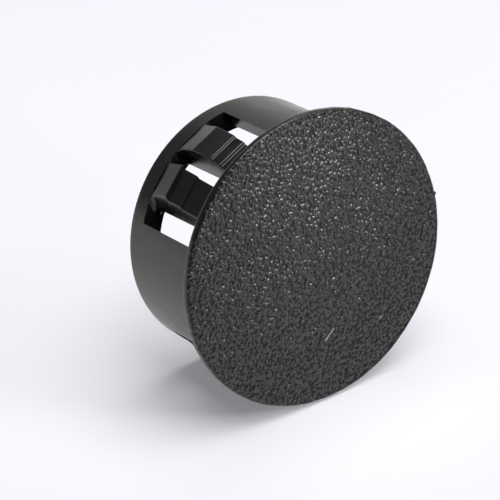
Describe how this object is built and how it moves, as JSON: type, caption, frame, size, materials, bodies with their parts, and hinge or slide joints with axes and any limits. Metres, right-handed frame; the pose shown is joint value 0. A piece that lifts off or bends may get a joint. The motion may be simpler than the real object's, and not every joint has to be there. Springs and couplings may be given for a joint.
{
  "type": "desk grommet cap",
  "caption": "Round snap-in cap that closes a cable hole in a desk top, with a grained cover disc over a short barrel with spring latch fingers.",
  "frame": {"origin": "on the axis, in the plane of the cover disc's underside, where the desk top's surface lies", "axes": "+Z along the axis, out of the desk top through the cover disc; the nose points along -Z; +X is 30 degrees before the middle of the first window"},
  "size_m": [0.0436, 0.0436, 0.0192],
  "materials": {
    "grained_nylon": "coarse moulded grain, satin black",
    "smooth_nylon": "smooth semi-gloss black"
  },
  "bodies": {
    "moulding": {"cover_disc": "grained_nylon", "collar": "smooth_nylon", "wall_panel_1": "smooth_nylon", "wall_panel_2": "smooth_nylon", "wall_panel_3": "smooth_nylon", "nose_ring": "smooth_nylon"},
    "thin_panel_finger_1": {"thin_panel_finger_1": "smooth_nylon"},
    "thin_panel_finger_2": {"thin_panel_finger_2": "smooth_nylon"},
    "thin_panel_finger_3": {"thin_panel_finger_3": "smooth_nylon"},
    "thick_panel_finger_1": {"thick_panel_finger_1": "smooth_nylon"},
    "thick_panel_finger_2": {"thick_panel_finger_2": "smooth_nylon"},
    "thick_panel_finger_3": {"thick_panel_finger_3": "smooth_nylon"}
  },
  "joints": [
    {"name": "thin_panel_finger_1_flex", "type": "hinge", "parent": "moulding", "child": "thin_panel_finger_1", "pos_m": [0.0165, 0.00536, -0.0151], "axis": [0.2965, -0.955, 0], "range_deg": [0, 12], "stiffness_Nm_per_rad": 0.5},
    {"name": "thin_panel_finger_2_flex", "type": "hinge", "parent": "moulding", "child": "thin_panel_finger_2", "pos_m": [-0.01289, 0.01161, -0.0151], "axis": [0.6788, 0.7343, 0], "range_deg": [0, 12], "stiffness_Nm_per_rad": 0.5},
    {"name": "thin_panel_finger_3_flex", "type": "hinge", "parent": "moulding", "child": "thin_panel_finger_3", "pos_m": [-0.00361, -0.01697, -0.0151], "axis": [-0.9753, 0.2207, 0], "range_deg": [0, 12], "stiffness_Nm_per_rad": 0.5},
    {"name": "thick_panel_finger_1_flex", "type": "hinge", "parent": "moulding", "child": "thick_panel_finger_1", "pos_m": [0.01271, 0.01185, -0.0151], "axis": [0.6401, -0.7683, 0], "range_deg": [0, 12], "stiffness_Nm_per_rad": 0.5},
    {"name": "thick_panel_finger_2_flex", "type": "hinge", "parent": "moulding", "child": "thick_panel_finger_2", "pos_m": [-0.01662, 0.00509, -0.0151], "axis": [0.3453, 0.9385, 0], "range_deg": [0, 12], "stiffness_Nm_per_rad": 0.5},
    {"name": "thick_panel_finger_3_flex", "type": "hinge", "parent": "moulding", "child": "thick_panel_finger_3", "pos_m": [0.0039, -0.01693, -0.0151], "axis": [-0.9854, -0.1702, 0], "range_deg": [0, 12], "stiffness_Nm_per_rad": 0.5}
  ]
}
